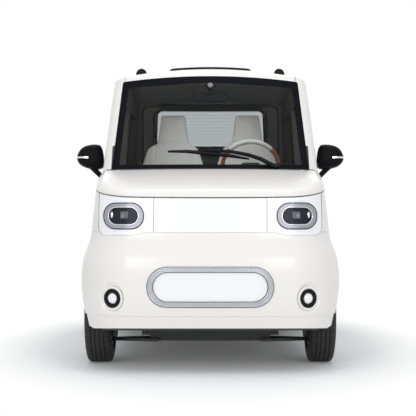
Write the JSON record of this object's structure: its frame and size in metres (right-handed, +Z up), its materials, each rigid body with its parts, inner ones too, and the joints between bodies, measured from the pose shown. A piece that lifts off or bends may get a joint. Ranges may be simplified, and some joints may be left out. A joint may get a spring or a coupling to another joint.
{
  "type": "electric car",
  "caption": "Small two-door electric car with rounded body, opening doors, hood and tailgate, steered front wheels and a furnished cabin.",
  "frame": {"origin": "on the ground, midway between the outermost points of the car in length and width", "axes": "+Y towards the tail along the car, +X towards the car's own left side, +Z up; the car stands on its tyres"},
  "size_m": [1.5792, 2.8067, 1.7007],
  "materials": {
    "body_paint": "gloss",
    "band_paint": "gloss",
    "window_glass": "clear",
    "lamp_glass": "clear",
    "red_lamp": "gloss",
    "gloss_black": "gloss",
    "dark_plastic": "grained",
    "satin_silver": "satin",
    "underbody_paint": "satin",
    "battery_case": "matte",
    "motor_case": "cast",
    "chassis_black": "satin",
    "cast_steel": "cast",
    "bright_steel": "brushed",
    "wheel_leather": "smooth",
    "seat_leather": "smooth",
    "wheel_silver": "satin",
    "tyre": "matte"
  },
  "bodies": {
    "body": {"front_bumper": "body_paint", "nose_band": "band_paint", "fender_left": "body_paint", "fender_right": "body_paint", "roof_panel": "body_paint", "rear_bumper": "body_paint", "side_frame_left": "body_paint", "side_frame_right": "body_paint", "undertray": "dark_plastic", "windshield": "window_glass", "quarter_glass_left": "window_glass", "quarter_glass_right": "window_glass", "headlamp_left": "lamp_glass", "headlamp_right": "lamp_glass", "tail_lamp_left": "red_lamp", "tail_lamp_right": "red_lamp", "fog_lamp_left": "gloss_black", "fog_lamp_right": "gloss_black", "sunroof": "gloss_black", "roof_rail_left": "gloss_black", "roof_rail_right": "gloss_black", "cowl": "dark_plastic", "wiper": "dark_plastic", "dashboard": "dark_plastic", "rear_view_mirror": "dark_plastic", "steering_column": "dark_plastic", "grille_ring": "satin_silver", "floor_pan": "underbody_paint", "battery_pack": "battery_case", "drive_motor": "motor_case", "front_suspension": "chassis_black", "rear_axle": "chassis_black", "seat_cushion_left": "seat_leather", "seat_cushion_right": "seat_leather", "seat_back_left": "seat_leather", "seat_back_right": "seat_leather", "rear_bench_cushion": "seat_leather", "rear_bench_back": "seat_leather"},
    "door_left": {"door_left": "body_paint", "door_glass_left": "window_glass", "door_mirror_left": "gloss_black"},
    "door_right": {"door_right": "body_paint", "door_glass_right": "window_glass", "door_mirror_right": "gloss_black"},
    "hood": {"hood": "body_paint"},
    "tailgate": {"tailgate": "body_paint", "tailgate_glass": "window_glass"},
    "knuckle_left": {"knuckle_left": "cast_steel"},
    "knuckle_right": {"knuckle_right": "cast_steel"},
    "steering_wheel": {"steering_wheel": "wheel_leather"},
    "steering_rack": {"steering_rack": "bright_steel"},
    "wheel_front_left": {"rim_front_left": "wheel_silver", "tyre_front_left": "tyre"},
    "wheel_front_right": {"rim_front_right": "wheel_silver", "tyre_front_right": "tyre"},
    "wheel_rear_left": {"rim_rear_left": "wheel_silver", "tyre_rear_left": "tyre"},
    "wheel_rear_right": {"rim_rear_right": "wheel_silver", "tyre_rear_right": "tyre"}
  },
  "joints": [
    {"name": "door_left_hinge", "type": "hinge", "parent": "body", "child": "door_left", "pos_m": [0.691, -0.5635, 0.5], "axis": [0.126, 0, -0.992], "range_deg": [0, 65]},
    {"name": "door_right_hinge", "type": "hinge", "parent": "body", "child": "door_right", "pos_m": [-0.691, -0.5635, 0.5], "axis": [0.126, 0, 0.992], "range_deg": [0, 65]},
    {"name": "hood_hinge", "type": "hinge", "parent": "body", "child": "hood", "pos_m": [0, -0.832, 1.05], "axis": [-1, 0, 0], "range_deg": [0, 55]},
    {"name": "tailgate_hinge", "type": "hinge", "parent": "body", "child": "tailgate", "pos_m": [0, 1.241, 1.611], "axis": [1, 0, 0], "range_deg": [0, 75]},
    {"name": "kingpin_left", "type": "hinge", "parent": "body", "child": "knuckle_left", "pos_m": [0.53, -0.89, 0.15], "axis": [-0.138, 0, 0.9904], "range_deg": [-30, 30]},
    {"name": "kingpin_right", "type": "hinge", "parent": "body", "child": "knuckle_right", "pos_m": [-0.53, -0.89, 0.15], "axis": [0.138, 0, 0.9904], "range_deg": [-30, 30]},
    {"name": "steering_wheel_turn", "type": "hinge", "parent": "body", "child": "steering_wheel", "pos_m": [0.243, -0.25, 1.096], "axis": [0, 0.866, 0.5], "range_deg": [-450, 450]},
    {"name": "rack_slide", "type": "slide", "parent": "body", "child": "steering_rack", "axis": [1, 0, 0], "range_m": [-0.055, 0.055]},
    {"name": "wheel_spin_front_left", "type": "hinge", "parent": "knuckle_left", "child": "wheel_front_left", "pos_m": [0.602, -0.89, 0.254], "axis": [1, 0, 0], "continuous": true},
    {"name": "wheel_spin_front_right", "type": "hinge", "parent": "knuckle_right", "child": "wheel_front_right", "pos_m": [-0.602, -0.89, 0.254], "axis": [1, 0, 0], "continuous": true},
    {"name": "wheel_spin_rear_left", "type": "hinge", "parent": "body", "child": "wheel_rear_left", "pos_m": [0.602, 0.97, 0.254], "axis": [1, 0, 0], "continuous": true},
    {"name": "wheel_spin_rear_right", "type": "hinge", "parent": "body", "child": "wheel_rear_right", "pos_m": [-0.602, 0.97, 0.254], "axis": [1, 0, 0], "continuous": true}
  ],
  "couplings": [
    {"joint": "kingpin_right", "follows": "kingpin_left", "ratio": 1},
    {"joint": "steering_wheel_turn", "follows": "kingpin_left", "ratio": 15},
    {"joint": "rack_slide", "follows": "kingpin_left", "m_per_rad": -0.1048}
  ]
}
